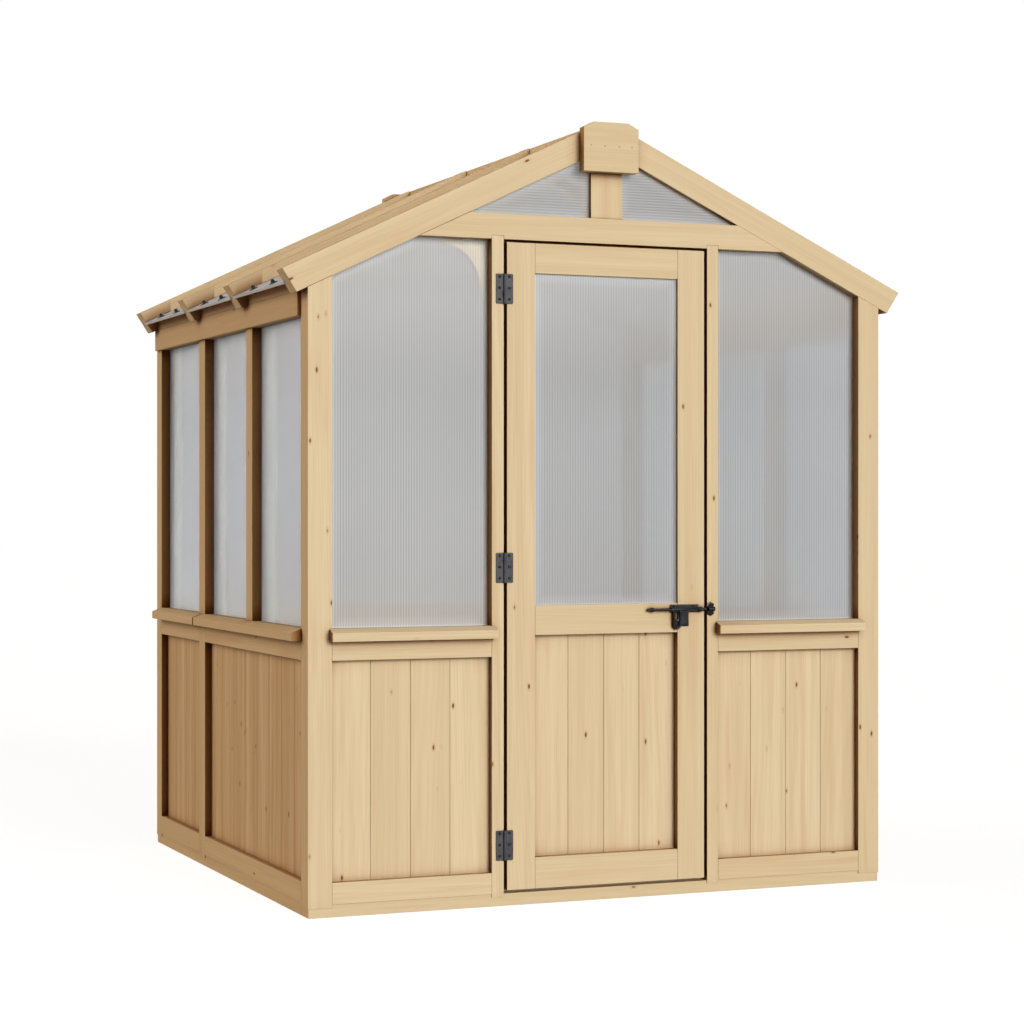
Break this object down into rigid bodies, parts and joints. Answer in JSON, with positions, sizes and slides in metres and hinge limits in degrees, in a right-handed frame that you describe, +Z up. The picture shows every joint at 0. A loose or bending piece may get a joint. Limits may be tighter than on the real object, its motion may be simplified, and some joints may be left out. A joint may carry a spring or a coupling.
{
  "type": "greenhouse",
  "caption": "Small timber greenhouse with a gabled roof, boarded lower walls, twin-wall sheets above and a hinged door with a slide bolt.",
  "frame": {"origin": "middle of the ground plan, on the ground under the base plates", "axes": "+Z up, -Y towards the door, X along the door wall"},
  "size_m": [1.89, 1.687, 2.1712],
  "materials": {
    "timber": "planed, untreated softwood with fine grain and small knots",
    "boards": "planed softwood boards with tongued and grooved edges",
    "twin_wall_sheet": "clear twin-wall polycarbonate with fine ribs",
    "grey_steel": "dull grey plated steel",
    "black_steel": "black powder-coated steel"
  },
  "bodies": {
    "root": {"base_front": "timber", "base_back": "timber", "base_left": "timber", "base_right": "timber", "post_front_left": "timber", "post_front_right": "timber", "post_back_left": "timber", "post_back_right": "timber", "door_stud_left": "timber", "door_stud_right": "timber", "back_studs": "timber", "left_studs": "timber", "right_studs": "timber", "front_rails": "timber", "back_rails": "timber", "left_rails": "timber", "right_rails": "timber", "front_sills": "timber", "back_sills": "timber", "left_sills": "timber", "right_sills": "timber", "eave_beam_left": "timber", "eave_beam_right": "timber", "eave_fillers": "timber", "collar_beam_front": "timber", "collar_beam_back": "timber", "king_posts": "timber", "ridge_boards": "timber", "front_rafters": "timber", "second_rafters": "timber", "third_rafters": "timber", "back_rafters": "timber", "apex_plates": "timber", "knee_brace": "timber", "door_stops": "timber", "front_boards": "boards", "back_boards": "boards", "left_boards": "boards", "right_boards": "boards", "front_sheets": "twin_wall_sheet", "back_sheets": "twin_wall_sheet", "left_sheets": "twin_wall_sheet", "right_sheets": "twin_wall_sheet", "gable_sheets": "twin_wall_sheet", "roof_sheets_left": "twin_wall_sheet", "roof_sheets_right": "twin_wall_sheet", "frame_hinge_leaves": "grey_steel", "hinge_pins": "grey_steel", "frame_screws": "grey_steel", "wall_bolts": "grey_steel", "latch_keeper": "black_steel", "roof_screws": "black_steel"},
    "door": {"door_stiles": "timber", "door_rails": "timber", "door_boards": "boards", "door_sheet": "twin_wall_sheet", "door_hinge_leaves": "grey_steel", "door_screws": "grey_steel", "latch_plate": "black_steel"},
    "bolt": {"latch_bolt": "black_steel"}
  },
  "joints": [
    {"name": "door_hinge", "type": "hinge", "parent": "root", "child": "door", "pos_m": [-0.311, -0.8169, 0.93], "axis": [0, 0, -1], "range_deg": [0, 110]},
    {"name": "bolt_slide", "type": "slide", "parent": "door", "child": "bolt", "axis": [1, 0, 0], "range_m": [0, 0.055]}
  ]
}
